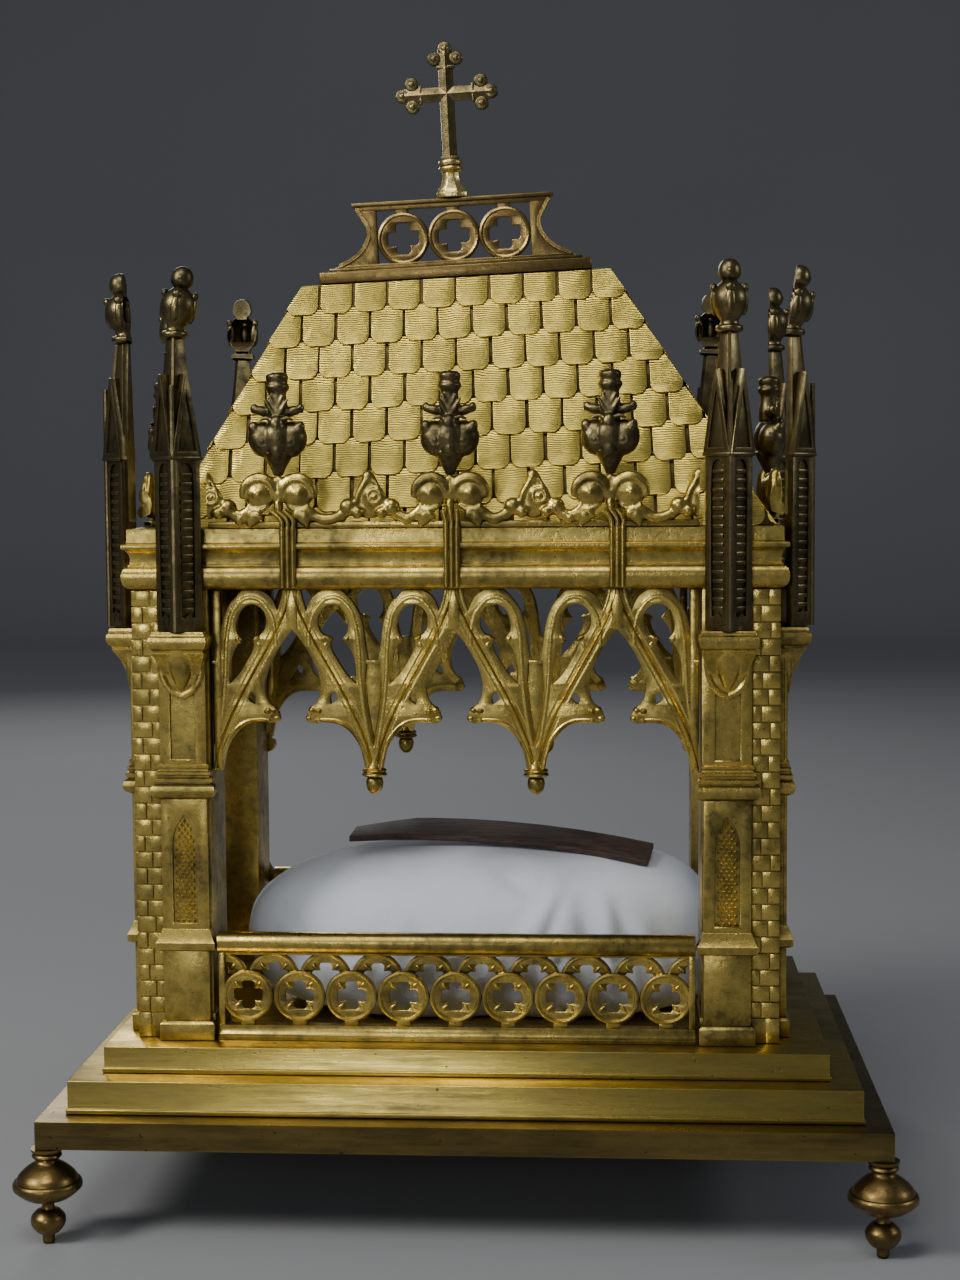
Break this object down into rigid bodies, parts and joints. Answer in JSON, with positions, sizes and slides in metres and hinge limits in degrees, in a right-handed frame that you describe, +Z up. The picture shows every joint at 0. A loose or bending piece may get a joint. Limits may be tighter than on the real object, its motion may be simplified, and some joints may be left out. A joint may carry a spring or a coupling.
{
  "type": "chapel reliquary",
  "caption": "Chapel-shaped reliquary in gilt brass: stepped base on feet, open cusped arcades, pinnacles and a tiled hipped roof with a cross; a cushion and relic slat inside.",
  "frame": {"origin": "middle of the footprint, on the plane that the feet stand on", "axes": "+X to the right along the long front, +Y to the back, +Z up"},
  "size_m": [0.4214, 0.277, 0.58],
  "materials": {
    "gilt_brass": "gilt, chased and polished, brown patina in the recesses",
    "pale_gilt": "pale lemon gilt with engraved lines",
    "dark_bronze": "dark brown bronze patina, rubbed on the edges",
    "worn_brass": "worn and darkened gilt brass",
    "white_cotton": "plain matt cotton, gathered and padded",
    "dark_wood": "old dark brown, matt"
  },
  "bodies": {
    "root": {"buttress_front_left": "gilt_brass", "pinnacle_front_left": "dark_bronze", "buttress_front_right": "gilt_brass", "pinnacle_front_right": "dark_bronze", "tracery_front": "gilt_brass", "balustrade_front": "gilt_brass", "cresting_front": "gilt_brass", "finial_front_1": "dark_bronze", "finial_front_2": "dark_bronze", "finial_front_3": "dark_bronze", "buttress_right_front": "gilt_brass", "pinnacle_right_front": "dark_bronze", "buttress_right_back": "gilt_brass", "pinnacle_right_back": "dark_bronze", "tracery_right": "gilt_brass", "balustrade_right": "gilt_brass", "cresting_right": "gilt_brass", "finial_right": "dark_bronze", "buttress_back_right": "gilt_brass", "pinnacle_back_right": "dark_bronze", "buttress_back_left": "gilt_brass", "pinnacle_back_left": "dark_bronze", "tracery_back": "gilt_brass", "balustrade_back": "gilt_brass", "cresting_back": "gilt_brass", "finial_back_1": "dark_bronze", "finial_back_2": "dark_bronze", "finial_back_3": "dark_bronze", "buttress_left_back": "gilt_brass", "pinnacle_left_back": "dark_bronze", "buttress_left_front": "gilt_brass", "pinnacle_left_front": "dark_bronze", "tracery_left": "gilt_brass", "balustrade_left": "gilt_brass", "cresting_left": "gilt_brass", "finial_left": "dark_bronze", "pier_front_left": "gilt_brass", "pier_front_right": "gilt_brass", "pier_back_left": "gilt_brass", "pier_back_right": "gilt_brass", "cornice": "gilt_brass", "roof": "pale_gilt", "ridge_slab": "worn_brass", "ridge_crest": "worn_brass", "cross_pedestal": "pale_gilt", "cross": "dark_bronze", "relic_slat": "dark_wood", "cushion": "white_cotton", "foot_front_left": "worn_brass", "foot_front_right": "worn_brass", "foot_back_left": "worn_brass", "foot_back_right": "worn_brass", "base_slab": "worn_brass", "base_lower_step": "gilt_brass", "base_upper_step": "gilt_brass"}
  },
  "joints": []
}
